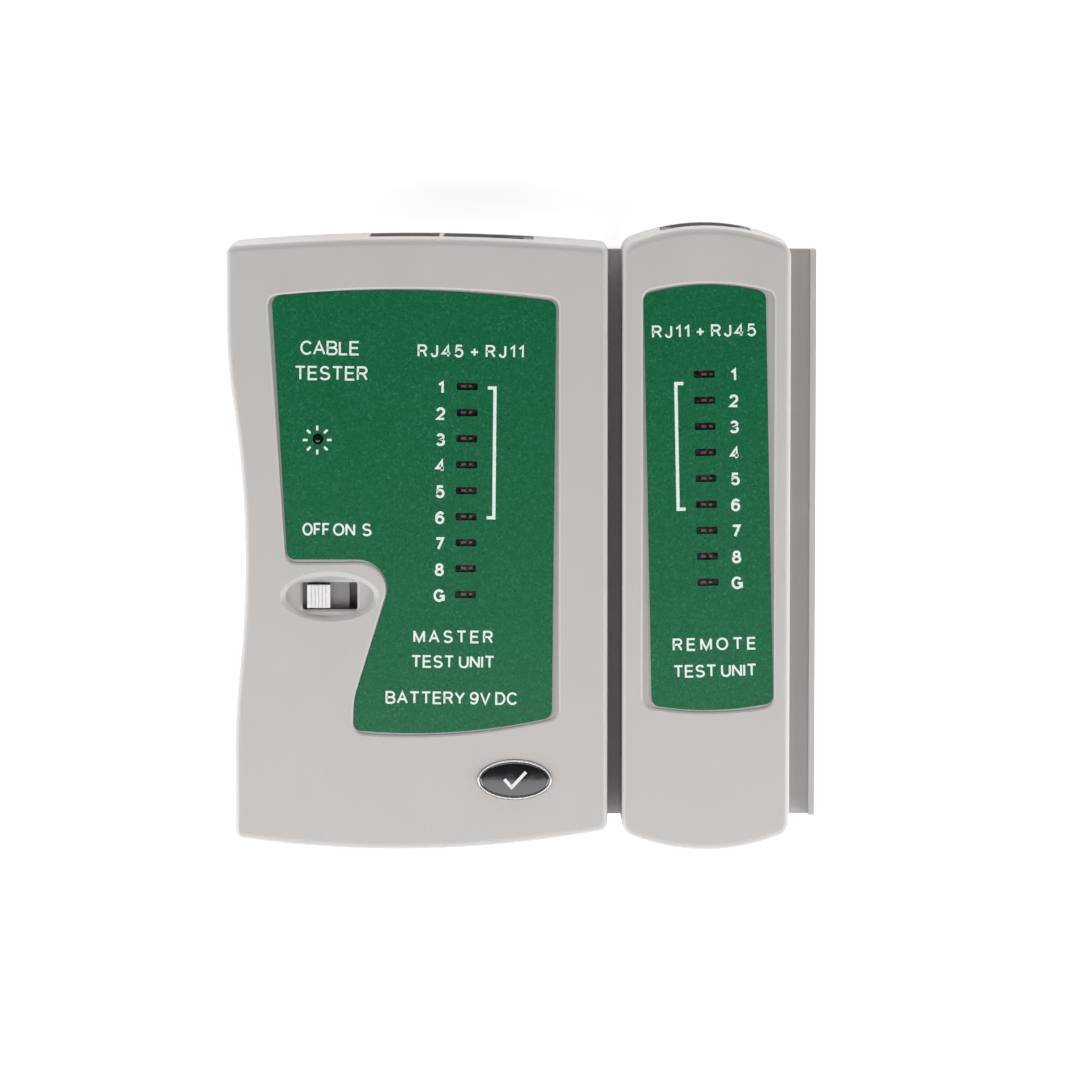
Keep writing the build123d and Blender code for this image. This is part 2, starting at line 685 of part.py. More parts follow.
def flat_led(place):
    """A flat indicator lamp with its two legs."""
    x, y = place
    width, depth, height = LED_SIZE
    bottom = LED_TOP - height
    body = block((x - width / 2, x + width / 2), (y - depth / 2, y + depth / 2), (bottom, LED_TOP))
    return body + legs(place, LED_LEGS, bottom)


def round_led(place):
    """A round lamp with a domed top."""
    bottom = LED_TOP - LED_SIZE[2]
    shoulder = LED_TOP - POWER_LED_RADIUS
    body = post(place, POWER_LED_RADIUS, bottom, shoulder)
    body += Pos(*place, shoulder) * Sphere(POWER_LED_RADIUS)
    return body + legs(place, POWER_LED_LEGS, bottom)


def chip(place, legs_per_side):
    """A chip with two rows of legs, its length along Y."""
    x, y = place
    width, height = CHIP_BODY
    leg_width, leg_thickness = CHIP_LEG
    reach = (CHIP_LEG_SPREAD + leg_thickness) / 2
    half_length = legs_per_side * CHIP_PITCH / 2 - leg_thickness
    bottom = BOARD_TOP + CHIP_LIFT
    shoulder = bottom + CHIP_SHOULDER
    along = (y - half_length, y + half_length)
    body = block((x - width / 2, x + width / 2), along, (bottom, bottom + height))
    for i in range(legs_per_side):
        leg_y = y + CHIP_PITCH * (i - (legs_per_side - 1) / 2)
        across = (leg_y - leg_width / 2, leg_y + leg_width / 2)
        body += block((x - reach, x + reach), across, (shoulder - leg_thickness, shoulder))
        for left in (x - reach, x + reach - leg_thickness):
            body += block((left, left + leg_thickness), across, (BOARD_BOTTOM - PIN_LENGTH, shoulder))
    return body


def axial_part(place, size):
    """A resistor or a diode lying along X, with bent legs through the board."""
    x, y = place
    length, radius = size
    z = BOARD_TOP + radius
    reach = length / 2 + AXIAL_LEG
    body = along_x(y, z, radius, (x - length / 2, x + length / 2))
    body += along_x(y, z, LEG_RADIUS, (x - reach, x + reach))
    for side in (-reach, reach):
        body += Pos(x + side, y, z) * Sphere(LEG_RADIUS)
    return body + legs(place, reach, z)


def capacitor(place):
    """An upright electrolytic capacitor that hangs under the board."""
    radius, length = CAPACITOR_SIZE
    can = post(place, radius, BOARD_BOTTOM - length, BOARD_BOTTOM)
    return can + legs(place, CAPACITOR_LEGS, BOARD_TOP + CHIP_LIFT)


def board(size, screw_holes, boss_holes, pieces):
    """A circuit board, drilled for its screws, for the case bosses and for every leg."""
    plate = block(*size, (BOARD_BOTTOM, BOARD_TOP))
    for place in screw_holes:
        plate -= post(place, BOARD_SCREW_SHANK + COVER_GAP, BOARD_BOTTOM, BOARD_TOP)
    for place in boss_holes:
        plate -= post(place, FRONT_BOSS_RADIUS + SCREW_ROOM, BOARD_BOTTOM, BOARD_TOP)
    for piece in pieces:
        plate -= piece
    return plate


# ---------------------------------------------------------------- slide switch

def switch_frame():
    """The switch's folded metal case, open below, with a window for the knob."""
    x, y = SWITCH
    length, width, height = FRAME_SIZE
    top = BOARD_TOP + height
    sheet = FRAME_SHEET
    half_x = length / 2
    half_y = width / 2
    frame = block((x - half_x, x + half_x), (y - half_y, y + half_y), (BOARD_TOP, top))
    frame -= block(
        (x - half_x + sheet, x + half_x - sheet),
        (y - half_y + sheet, y + half_y - sheet),
        (BOARD_TOP, top - sheet),
    )
    window_x = FRAME_WINDOW[0] / 2
    window_y = FRAME_WINDOW[1] / 2
    return frame - block((x - window_x, x + window_x), (y - window_y, y + window_y), (top - 1, top))


def switch_pins():
    x, y = SWITCH
    heights = (BOARD_BOTTOM - PIN_LENGTH, BOARD_TOP + SWITCH_BASE / 2)
    half = CHIP_LEG[0] / 2
    return [block((x + side - half, x + side + half), (y - half, y + half), heights) for side in SWITCH_PINS]


def switch_base():
    """The insulating floor of the switch, which holds its pins."""
    x, y = SWITCH
    half_x = FRAME_SIZE[0] / 2 - FRAME_SHEET
    half_y = FRAME_SIZE[1] / 2 - FRAME_SHEET
    heights = (BOARD_TOP, BOARD_TOP + SWITCH_BASE)
    base = block((x - half_x, x + half_x), (y - half_y, y + half_y), heights)
    for pin in switch_pins():
        base -= pin
    return base


def switch_knob():
    """The sliding knob at OFF, with the carriage that runs inside the frame."""
    x = SWITCH[0] - SWITCH_TRAVEL / 2
    y = SWITCH[1]
    length, width, height = CARRIAGE
    carriage_bottom = BOARD_TOP + CARRIAGE_LIFT
    carriage_top = carriage_bottom + height
    knob = block((x - length / 2, x + length / 2), (y - width / 2, y + width / 2),
                 (carriage_bottom, carriage_top))
    knob += block((x - KNOB[0] / 2, x + KNOB[0] / 2), (y - KNOB[1] / 2, y + KNOB[1] / 2),
                  (carriage_bottom, KNOB_TOP))
    groove_width, groove_depth = KNOB_GROOVE
    for side in KNOB_GROOVES:
        groove_x = (x + side - groove_width / 2, x + side + groove_width / 2)
        knob -= block(groove_x, (y - KNOB[1], y + KNOB[1]), (KNOB_TOP - groove_depth, KNOB_TOP))
    return knob


# ---------------------------------------------------------------- badge

def badge_rim():
    outer = Ellipse(*BADGE_RADII)
    inner = Ellipse(BADGE_RADII[0] - BADGE_RIM, BADGE_RADII[1] - BADGE_RIM)
    rim = prism(Pos(*BADGE) * (outer - inner), THICKNESS - BADGE_SINK, BADGE_RIM_TOP)
    return fillet(rim.faces().sort_by(Axis.Z)[-1].edges(), BADGE_RIM / 3)


def badge_dome():
    shape = Ellipse(BADGE_RADII[0] - BADGE_RIM, BADGE_RADII[1] - BADGE_RIM)
    dome = prism(Pos(*BADGE) * shape, THICKNESS - BADGE_SINK, BADGE_DOME_TOP)
    return fillet(dome.faces().sort_by(Axis.Z)[-1].edges(), BADGE_RIM)


# ---------------------------------------------------------------- battery and its leads

def along_x(y, z, radius, x_range):
    """A cylinder that lies along X."""
    low, high = x_range
    return Pos((low + high) / 2, y, z) * Rot(0, 90, 0) * Cylinder(radius, high - low)


def battery():
    x, y = BATTERY_CENTRE
    body = Pos(x, y, BATTERY_BOTTOM + BATTERY[2] / 2) * Box(*BATTERY)
    return fillet(body.edges().filter_by(Axis.X), 1.5)


def battery_ends():
    """Where the terminals stand: the end plane, the two Y places and the mid height."""
    end = BATTERY_CENTRE[0] + BATTERY[0] / 2
    low = BATTERY_CENTRE[1] - TERMINAL_SPACING / 2
    high = BATTERY_CENTRE[1] + TERMINAL_SPACING / 2
    return end, low, high, BATTERY_BOTTOM + BATTERY[2] / 2


def battery_terminals():
    """The small stud and the large cup on the battery's end."""
    end, low, high, z = battery_ends()
    reach = (end, end + TERMINAL_LENGTH)
    cup = along_x(low, z, CUP_RADIUS, reach) - along_x(low, z, STUD_RADIUS, reach)
    return [along_x(high, z, STUD_RADIUS, reach), cup]


def battery_snap():
    """The snap connector: a plate with a ring over the stud and a plug in the cup."""
    end, low, high, z = battery_ends()
    face = end + TERMINAL_LENGTH
    thickness, height = SNAP
    plate_y = (low - SNAP_END, high + SNAP_END)
    plate = block((face, face + thickness), plate_y, (z - height / 2, z + height / 2))
    reach = (end + SCREW_ROOM, face)
    ring = along_x(high, z, CUP_RADIUS, reach) - along_x(high, z, STUD_RADIUS + FIT, reach)
    return plate + ring + along_x(low, z, STUD_RADIUS - FIT, reach)


def battery_lead(start_z, rise_y):
    """A lead from the snap's end, along Y, then up to the board."""
    end, _, high, _ = battery_ends()
    x = end + TERMINAL_LENGTH + SNAP[0] / 2
    start = (x, high + SNAP_END, start_z)
    path = FilletPolyline(start, (x, rise_y, start_z), (x, rise_y, BOARD_BOTTOM), radius=LEAD_BEND)
    section = Plane(origin=start, z_dir=(0, 1, 0)) * Circle(LEAD_RADIUS)
    return sweep(section, path=path)


# ---------------------------------------------------------------- screws

def cross_slot(place, z_low, size, turns):
    """Straight slots sunk into a screw head from below, one for each turn."""
    length, width, depth = size
    slot = block((-length / 2, length / 2), (-width / 2, width / 2), (z_low, z_low + depth))
    return [Pos(*place) * Rot(0, 0, turn) * slot for turn in turns]


def case_screw(place):
    """A self-tapping screw from the back, with a cross slot in its head."""
    head_bottom = SCREW_SEAT_Z - SCREW_HEAD_HEIGHT
    tip = THICKNESS - WALL - 2 * BOSS_ROOT
    screw = post(place, SCREW_HEAD_RADIUS, head_bottom, SCREW_SEAT_Z)
    screw += post(place, SCREW_SHANK_RADIUS, SCREW_SEAT_Z, tip)
    for slot in cross_slot(place, head_bottom, CROSS_SLOT, (0, 90)):
        screw -= slot
    return screw


def board_screw(place):
    """A small slotted screw that holds a board against its boss."""
    radius, height = BOARD_SCREW_HEAD
    head_bottom = BOARD_BOTTOM - height
    tip = THICKNESS - WALL - BOSS_ROOT
    screw = post(place, radius, head_bottom, BOARD_BOTTOM)
    screw += post(place, BOARD_SCREW_SHANK, BOARD_BOTTOM, tip)
    for slot in cross_slot(place, head_bottom, BOARD_SCREW_SLOT, (0,)):
        screw -= slot
    return screw


# ---------------------------------------------------------------- writing the sub-parts

def save_master():
    outline = master_outline
    save("master_front_shell", master_front_shell(outline))
    save("master_back_shell", master_back_shell(outline))
    save("battery_cover", battery_cover(outline))
    save("master_label", master_label())
    save("badge_rim", badge_rim())
    save("badge_dome", badge_dome())

    lamps = [flat_led(place) for place in led_places(MASTER_LED_X, MASTER_LED_TOP_Y)]
    for name, lamp in zip(LED_NAMES, lamps):
        save(f"master_led_{name}", lamp)
    power_lamp = round_led(POWER_LED)
    save("power_led", power_lamp)

    at_rj45 = at_jack(MASTER_RJ45_X, MASTER_JACK_FACE)
    at_rj11 = at_jack(MASTER_RJ11_X, MASTER_JACK_FACE)
    rj45_contacts = [at_rj45 * wire for wire in jack_contacts(RJ45)]
    rj11_contacts = [at_rj11 * wire for wire in jack_contacts(RJ11)]
    save("master_rj45_jack", at_rj45 * jack_housing(RJ45))
    save("master_rj45_contacts", *rj45_contacts)
    save("master_rj11_jack", at_rj11 * jack_housing(RJ11))
    save("master_rj11_contacts", *rj11_contacts)

    timer = chip(TIMER_CHIP, 4)
    counter = chip(COUNTER_CHIP, 8)
    resistors = [axial_part(place, RESISTOR) for place in RESISTORS]
    diodes = [axial_part(place, MASTER_DIODE) for place in MASTER_DIODES]
    cap = capacitor(CAPACITOR)
    save("timer_chip", timer)
    save("counter_chip", counter)
    save("master_resistors", *resistors)
    save("master_diodes", *diodes)
    save("master_capacitor", cap)

    save("switch_frame", switch_frame())
    save("switch_base", switch_base())
    save("switch_terminals", *switch_pins())
    save("switch_knob", switch_knob())

    through = lamps + [power_lamp, timer, counter, cap] + rj45_contacts + rj11_contacts
    through += resistors + diodes + switch_pins()
    master_board = board(MASTER_BOARD, MASTER_BOARD_SCREWS, MASTER_CASE_SCREWS, through)
    save("master_circuit_board", master_board)

    save("battery", battery())
    save("battery_terminals", *battery_terminals())
    save("battery_snap", battery_snap())
    save("battery_lead_red", battery_lead(13.5, -11.0))
    save("battery_lead_black", battery_lead(10.0, -7.0))
    save("master_case_screws", *[case_screw(place) for place in MASTER_CASE_SCREWS])
    save("master_board_screws", *[board_screw(place) for place in MASTER_BOARD_SCREWS])


def save_remote():
    outline = remote_outline
    save("remote_front_shell", remote_front_shell(outline))
    save("remote_back_shell", remote_back_shell(outline))
    save("remote_label", remote_label())

    lamps = [flat_led(place) for place in led_places(REMOTE_LED_X, REMOTE_LED_TOP_Y)]
    for name, lamp in zip(LED_NAMES, lamps):
        save(f"remote_led_{name}", lamp)

    at_rj45 = at_jack(REMOTE_MIDDLE, REMOTE_RJ45_FACE)
    at_rj11 = at_jack(REMOTE_MIDDLE, REMOTE_RJ11_FACE, turn=180)
    rj45_contacts = [at_rj45 * wire for wire in jack_contacts(RJ45)]
    rj11_contacts = [at_rj11 * wire for wire in jack_contacts(RJ11)]
    save("remote_rj45_jack", at_rj45 * jack_housing(RJ45))
    save("remote_rj45_contacts", *rj45_contacts)
    save("remote_rj11_jack", at_rj11 * jack_housing(RJ11))
    save("remote_rj11_contacts", *rj11_contacts)

    diodes = [axial_part(place, REMOTE_DIODE) for place in REMOTE_DIODES]
    save("remote_diodes", *diodes)

    through = lamps + rj45_contacts + rj11_contacts + diodes
    remote_board = board(REMOTE_BOARD, REMOTE_BOARD_SCREWS, REMOTE_CASE_SCREWS, through)
    save("remote_circuit_board", remote_board)
    save("remote_case_screws", *[case_screw(place) for place in REMOTE_CASE_SCREWS])
    save("remote_board_screws", *[board_screw(place) for place in REMOTE_BOARD_SCREWS])


save_master()
save_remote()
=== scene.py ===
"""Looks of the network cable tester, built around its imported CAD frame. Lengths are in metres."""

import math

import bpy
from mathutils import Matrix, Vector
from mathutils.bvhtree import BVHTree


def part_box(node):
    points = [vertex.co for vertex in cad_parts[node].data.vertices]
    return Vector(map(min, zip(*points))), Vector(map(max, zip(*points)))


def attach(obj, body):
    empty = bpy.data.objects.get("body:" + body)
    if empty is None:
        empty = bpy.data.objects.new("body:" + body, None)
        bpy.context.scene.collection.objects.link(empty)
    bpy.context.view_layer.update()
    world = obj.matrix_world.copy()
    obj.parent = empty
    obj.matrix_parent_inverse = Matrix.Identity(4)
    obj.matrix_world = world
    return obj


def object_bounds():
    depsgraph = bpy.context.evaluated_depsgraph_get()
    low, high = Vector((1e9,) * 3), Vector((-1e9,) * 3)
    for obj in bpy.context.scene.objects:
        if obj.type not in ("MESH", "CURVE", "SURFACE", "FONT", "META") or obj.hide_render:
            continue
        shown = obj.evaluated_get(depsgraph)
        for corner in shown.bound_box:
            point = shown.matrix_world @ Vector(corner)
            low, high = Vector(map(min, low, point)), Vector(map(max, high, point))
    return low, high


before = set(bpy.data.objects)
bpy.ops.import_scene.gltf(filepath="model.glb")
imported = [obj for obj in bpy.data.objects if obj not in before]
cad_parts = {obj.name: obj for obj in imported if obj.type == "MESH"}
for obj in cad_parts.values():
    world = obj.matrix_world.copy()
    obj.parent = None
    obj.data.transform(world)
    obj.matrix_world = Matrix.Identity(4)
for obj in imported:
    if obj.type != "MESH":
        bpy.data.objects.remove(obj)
cad_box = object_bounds()

MM = 0.001

# Printing
INK_THICKNESS = 0.03 * MM
INK_SUNK = 0.01 * MM           # how far a stroke's underside lies below the face
INK_STEP = 0.002 * MM          # crossing strokes lie this much above each other
INK_LAYERS = 4                 # and start again from the lowest after this many
INK_SHARPEST = 2.0             # longest corner of a stroke, in half stroke widths
SAME_POINT = 1e-7              # points of a path closer than this are one
ARC_STEP = 18                  # degrees between the points of an arc
WORD_STROKE = 0.34 * MM
NUMERAL_STROKE = 0.42 * MM
BRACKET_STROKE = 0.55 * MM
TICK_STROKE = 0.52 * MM
TICK_CORNERS = [(-1.7, 0.15), (-0.5, -1.25), (1.9, 1.35)]    # mm from the middle of the badge
TICK_STEPS = 12                # per leg, so that it bends with the dome
RAY_STROKE = 0.40 * MM
RAY_COUNT = 8
RAY_RADII = (1.6, 2.0, 2.4)    # mm
CAPITAL_HEIGHT = 2.15 * MM
TITLE_HEIGHT = 2.4 * MM
NUMERAL_HEIGHT = 2.15 * MM
SPACE = 0.55 * MM              # what a word space adds to the letter gap
LEAST_GAP = 0.16 * MM          # between two letters; words that need more room are squeezed
MASTER_LABEL_TURN = math.radians(-0.6)
REMOTE_LABEL_TURN = math.radians(1.2)
LAMP_MARKS = "12345678g"
BRACKET_LAST = 5               # the bracket spans the first lamp to this one

# The metal in a lamp's top, in mm: middle, half length and width of the anvil and of the post
LAMP_ANVIL = (-0.45, 0.42, 0.42)
LAMP_POST = (0.72, 0.28, 0.36)
LAMP_FRAME_DROP = 0.05
LAMP_FRAME_LEAN = 0.06

# Where materials change along an axis
CASING_SEAM_Z = 13.5 * MM
# Painted shade on the knob's lower part fades out between these heights
KNOB_SHADE_Z = (25.0 * MM, 26.5 * MM)
BATTERY_BAND = 13.0 * MM
CAPACITOR_STRIPE = 1.0 * MM
EDGE_BLUR = 0.1 * MM

# Camera and room
CAMERA_HEIGHT = 1.0
CAMERA_TOWARDS_SOCKETS = 0.094
PICTURE_WIDTH = 0.18
PICTURE_MIDDLE = Vector((0.003, 0.0002))
SENSOR_WIDTH = 36
FLOOR_SIZE = 6.0
FLOOR_GAP = 0.05 * MM
FLOOR_GLOW = 0.64
WALL_GLOW = 0.60
WALL_TOP = 0.1                 # the walls glow fully up to this height of the view direction
CEILING_GLOW = 0.04
CEILING_FROM = 0.85
PANEL_PLACE = (0.0, -0.317, 0.6)
PANEL_AIM = (0.0, -0.317, 0.0)
SIDE_BOX_PLACE = (0.45, -0.21, 0.20)
STRIP_PLACE = (0.0, 0.50, 0.12)


# ---------------------------------------------------------------- materials


class Surface:
    """One material under construction: a principled shader and short calls for the nodes that repeat."""

    def __init__(self, name):
        self.material = bpy.data.materials.get(name) or bpy.data.materials.new(name)
        self.material.use_nodes = True
        self.nodes = self.material.node_tree.nodes
        self.links = self.material.node_tree.links
        self.nodes.clear()
        output = self.nodes.new("ShaderNodeOutputMaterial")
        self.shader = self.nodes.new("ShaderNodeBsdfPrincipled")
        self.links.new(self.shader.outputs["BSDF"], output.inputs["Surface"])
        self.place = self.nodes.new("ShaderNodeTexCoord").outputs["Object"]

    def wire(self, socket, value):
        """Joins an output to a socket, or sets the socket to a plain value."""
        if isinstance(value, bpy.types.NodeSocket):
            self.links.new(value, socket)
        else:
            socket.default_value = value

    def set(self, **values):
        """Sets the shader's sockets: base_color=..., roughness=... and so on."""
        for key, value in values.items():
            name = key.replace("_", " ").title().replace("Ior", "IOR")
            if isinstance(value, tuple):
                value = (*value, 1.0)
            self.wire(self.shader.inputs[name], value)

    def stretched(self, x=1.0, y=1.0, z=1.0):
        """The place on the object, scaled differently along each axis."""
        mapping = self.nodes.new("ShaderNodeMapping")
        mapping.inputs["Scale"].default_value = (x, y, z)
        self.links.new(self.place, mapping.inputs["Vector"])
        return mapping.outputs["Vector"]

    def noise(self, size, detail=2.0, roughness=0.5, place=None):
        """Soft random patches about this size."""
        node = self.nodes.new("ShaderNodeTexNoise")
        node.inputs["Scale"].default_value = 1.0 / size
        node.inputs["Detail"].default_value = detail
        node.inputs["Roughness"].default_value = roughness
        self.links.new(place or self.place, node.inputs["Vector"])
        return node.outputs["Fac"]

    def flakes(self, size):
        """Small cells of this size, each with one random brightness."""
        node = self.nodes.new("ShaderNodeTexVoronoi")
        node.inputs["Scale"].default_value = 1.0 / size
        self.links.new(self.place, node.inputs["Vector"])
        split = self.nodes.new("ShaderNodeSeparateColor")
        self.links.new(node.outputs["Color"], split.inputs["Color"])
        return split.outputs["Red"]

    def along(self, axis):
        """The coordinate along X, Y or Z, in metres."""
        node = self.nodes.new("ShaderNodeSeparateXYZ")
        self.links.new(self.place, node.inputs["Vector"])
        return node.outputs[axis]

    def sum(self, operation, first, second=0.0):
        """One arithmetic step between two values."""
        node = self.nodes.new("ShaderNodeMath")
        node.operation = operation
        self.wire(node.inputs[0], first)
        self.wire(node.inputs[1], second)
        return node.outputs["Value"]

    def span(self, value, low, high, start=0.0, end=1.0):
        """Maps value from low..high to start..end, and holds it at the ends."""
        node = self.nodes.new("ShaderNodeMapRange")
        self.wire(node.inputs["Value"], value)
        for name, number in zip(("From Min", "From Max", "To Min", "To Max"), (low, high, start, end)):
            node.inputs[name].default_value = number
        return node.outputs["Result"]

    def blend(self, factor, first, second):
        """A colour between first and second."""
        node = self.nodes.new("ShaderNodeMix")
        node.data_type = "RGBA"
        self.wire(node.inputs["Factor"], factor)
        for name, colour in (("A", first), ("B", second)):
            socket = next(s for s in node.inputs if s.name == name and s.type == "RGBA")
            self.wire(socket, (*colour, 1.0) if isinstance(colour, tuple) else colour)
        return next(s for s in node.outputs if s.type == "RGBA")

    def bump(self, height, depth, normal=None):
        """Raises the surface by height (0 to 1) times depth."""
        node = self.nodes.new("ShaderNodeBump")
        node.inputs["Strength"].default_value = 1.0
        node.inputs["Distance"].default_value = depth
        self.wire(node.inputs["Height"], height)
        if normal:
            self.links.new(normal, node.inputs["Normal"])
        self.links.new(node.outputs["Normal"], self.shader.inputs["Normal"])
        return node.outputs["Normal"]


def casing_material():
    """Moulded light grey plastic: a fine spark-eroded grain, faint flow marks, and painted shade along the
    seam between the shells.
    """
    plastic = Surface("casing")
    mottle = plastic.noise(9 * MM, detail=4)
    grain = plastic.noise(0.35 * MM, detail=3)
    flow = plastic.noise(14 * MM, detail=2, place=plastic.stretched(x=1.0, y=0.25))
    clean = plastic.blend(mottle, (0.500, 0.476, 0.464), (0.530, 0.510, 0.498))
    clean = plastic.blend(plastic.span(grain, 0.35, 0.65, 0.0, 0.12), clean, (0.40, 0.385, 0.37))
    # Painted shade: the colour darkens within 0.35 mm of the seam, where the groove between the two shells
    # lies in shade.
    from_seam = plastic.sum("ABSOLUTE", plastic.sum("SUBTRACT", plastic.along("Z"), CASING_SEAM_Z))
    seam_shade = plastic.span(from_seam, 0.05 * MM, 0.35 * MM, 0.55, 0.0)
    plastic.set(base_color=plastic.blend(seam_shade, clean, (0.23, 0.215, 0.20)))
    plastic.set(roughness=plastic.span(flow, 0.3, 0.7, 0.40, 0.52))
    plastic.set(specular_ior_level=0.45)
    rubbed = plastic.noise(0.9 * MM, detail=2, place=plastic.stretched(x=0.12, y=1.0))
    normal = plastic.bump(plastic.span(rubbed, 0.68, 0.74), 0.004 * MM)
    plastic.bump(grain, 0.018 * MM, normal)


def label_material():
    """Green printed film with metal flakes in the ink, under a thin satin varnish."""
    film = Surface("label")
    cloud = film.noise(6 * MM, detail=3)
    speckle = film.noise(0.42 * MM, detail=2, roughness=0.7)
    flake = film.flakes(0.26 * MM)
    green = film.blend(cloud, (0.0006, 0.103, 0.034), (0.0012, 0.120, 0.042))
    green = film.blend(film.span(speckle, 0.45, 0.72, 0.0, 0.50), green, (0.010, 0.180, 0.080))
    green = film.blend(film.span(speckle, 0.30, 0.46, 0.50, 0.0), green, (0.0005, 0.064, 0.022))
    green = film.blend(film.span(flake, 0.90, 0.97, 0.0, 0.40), green, (0.035, 0.25, 0.14))
    film.set(base_color=green)
    film.set(roughness=film.span(flake, 0.0, 1.0, 0.26, 0.34))
    film.set(specular_ior_level=0.36)
    film.bump(speckle, 0.008 * MM)


def ink_material():
    """White screen-printed ink, slightly uneven."""
    ink = Surface("ink")
    patch = ink.noise(0.5 * MM, detail=3)
    ink.set(base_color=ink.blend(patch, (0.62, 0.72, 0.65), (0.86, 0.90, 0.87)))
    ink.set(roughness=0.5)
    ink.bump(patch, 0.006 * MM)
    return ink.material


def lamp_material(name, tint):
    """Clear-tinted lamp plastic over a dark cup, nearly black while unlit."""
    lens = Surface(name)
    swirl = lens.noise(0.8 * MM, detail=3)
    dark = tuple(part * 0.25 for part in tint)
    lens.set(base_color=lens.blend(lens.span(swirl, 0.4, 0.65), dark, tint))
    lens.set(roughness=lens.span(swirl, 0.3, 0.7, 0.12, 0.3))
    lens.set(specular_ior_level=0.6)
    lens.set(coat_weight=0.5, coat_roughness=0.08)
    lens.bump(swirl, 0.02 * MM)


def dark_plastic(name, colour, roughness, grain_size):
    """Dark moulded plastic with a fine grain."""
    plastic = Surface(name)
    grain = plastic.noise(grain_size, detail=3)
    lighter = tuple(part * 1.7 + 0.004 for part in colour)
    plastic.set(base_color=plastic.blend(grain, colour, lighter))
    plastic.set(roughness=plastic.span(grain, 0.3, 0.7, roughness - 0.08, roughness + 0.08))
    plastic.bump(grain, 0.012 * MM)


def metal(name, colour, roughness, grain_size=0.5 * MM):
    """Plated metal with fine drawing lines and dull patches."""
    plate = Surface(name)
    dull = plate.noise(2.2 * MM, detail=4)
    lines = plate.noise(grain_size, detail=2, place=plate.stretched(x=1.0, y=0.15, z=1.0))
    tarnished = tuple(part * 0.72 for part in colour)
    plate.set(base_color=plate.blend(plate.span(dull, 0.45, 0.75), colour, tarnished))
    plate.set(metallic=1.0)
    plate.set(roughness=plate.span(dull, 0.3, 0.7, roughness, roughness + 0.15))
    plate.bump(lines, 0.004 * MM)


def badge_dome_material():
    """Poured black resin, very smooth, with faint ripples."""
    resin = Surface("badge_dome")
    ripple = resin.noise(2.5 * MM, detail=1)
    resin.set(base_color=resin.blend(ripple, (0.004, 0.004, 0.006), (0.010, 0.010, 0.013)))
    resin.set(roughness=0.03)
    resin.set(coat_weight=1.0, coat_roughness=0.02)
    resin.bump(ripple, 0.002 * MM)


def badge_rim_material():
    """Bright foil rim, a little creased."""
    foil = Surface("badge_rim")
    crease = foil.noise(0.7 * MM, detail=3)
    foil.set(base_color=foil.blend(crease, (0.62, 0.61, 0.60), (0.78, 0.77, 0.76)))
    foil.set(metallic=0.75)
    foil.set(roughness=foil.span(crease, 0.3, 0.7, 0.16, 0.30))
    foil.bump(crease, 0.01 * MM)


def knob_material():
    """White nylon, slightly yellowed, with painted shade on its lower part, which sits down in the switch
    slot.
    """
    nylon = Surface("knob_plastic")
    grain = nylon.noise(0.4 * MM, detail=3)
    # Painted shade: below the casing's face the knob turns grey, as if shaded down in the slot.
    low = nylon.span(nylon.along("Z"), *KNOB_SHADE_Z, 1.0, 0.0)
    white = nylon.blend(grain, (0.74, 0.73, 0.70), (0.86, 0.85, 0.83))
    nylon.set(base_color=nylon.blend(low, white, (0.52, 0.50, 0.49)))
    nylon.set(roughness=nylon.span(grain, 0.3, 0.7, 0.42, 0.55))
    nylon.bump(grain, 0.01 * MM)


def switch_base_material():
    """Grey glass-filled plastic."""
    board = Surface("switch_base")
    fibre = board.noise(0.6 * MM, detail=4, place=board.stretched(x=0.3))
    board.set(base_color=board.blend(fibre, (0.30, 0.29, 0.285), (0.38, 0.37, 0.36)))
    board.set(roughness=0.6)
    board.bump(fibre, 0.01 * MM)


def circuit_board_material():
    """Green solder mask over copper tracks that run mostly lengthways."""
    board = Surface("circuit_board")
    tracks = board.noise(2.4 * MM, detail=0, place=board.stretched(x=1.0, y=0.10))
    weave = board.noise(0.5 * MM, detail=2)
    track = board.span(tracks, 0.50, 0.52)
    green = board.blend(weave, (0.012, 0.085, 0.030), (0.020, 0.115, 0.045))
    board.set(base_color=board.blend(track, green, (0.045, 0.19, 0.075)))
    board.set(roughness=board.span(weave, 0.3, 0.7, 0.28, 0.4))
    board.set(coat_weight=0.3, coat_roughness=0.2)
    board.bump(track, 0.03 * MM)


def banded_part(name, body, band, centre, pitch, band_width, gloss):
    """A lacquered part with painted rings every pitch along X, counted from centre."""
    lacquer = Surface(name)
    speck = lacquer.noise(0.3 * MM, detail=2)
    from_centre = lacquer.sum("SUBTRACT", lacquer.along("X"), centre)
    ring = lacquer.sum("PINGPONG", from_centre, pitch / 2)
    painted = lacquer.span(ring, band_width / 2, band_width / 2 + 0.05 * MM, 1.0, 0.0)
    darker = tuple(part * 0.8 for part in body)
    lacquer.set(base_color=lacquer.blend(painted, lacquer.blend(speck, body, darker), band))
    lacquer.set(roughness=gloss)
    lacquer.set(coat_weight=0.4, coat_roughness=0.1)
    lacquer.bump(speck, 0.01 * MM)


def capacitor_material():
    """Printed shrink sleeve with a pale stripe, over a bare aluminium end."""
    sleeve = Surface("capacitor_can")
    crease = sleeve.noise(1.2 * MM, detail=3)
    low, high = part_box("master_capacitor")
    stripe_start = high.x - CAPACITOR_STRIPE
    stripe = sleeve.span(sleeve.along("X"), stripe_start, stripe_start + EDGE_BLUR)
    end = sleeve.span(sleeve.along("Z"), low.z + 0.4 * MM, low.z + 0.5 * MM, 1.0, 0.0)
    blue = sleeve.blend(crease, (0.012, 0.03, 0.12), (0.02, 0.05, 0.17))
    coloured = sleeve.blend(stripe, blue, (0.55, 0.60, 0.62))
    sleeve.set(base_color=sleeve.blend(end, coloured, (0.62, 0.62, 0.62)))
    sleeve.set(metallic=end)
    sleeve.set(roughness=sleeve.span(crease, 0.3, 0.7, 0.25, 0.4))
    sleeve.bump(crease, 0.03 * MM)


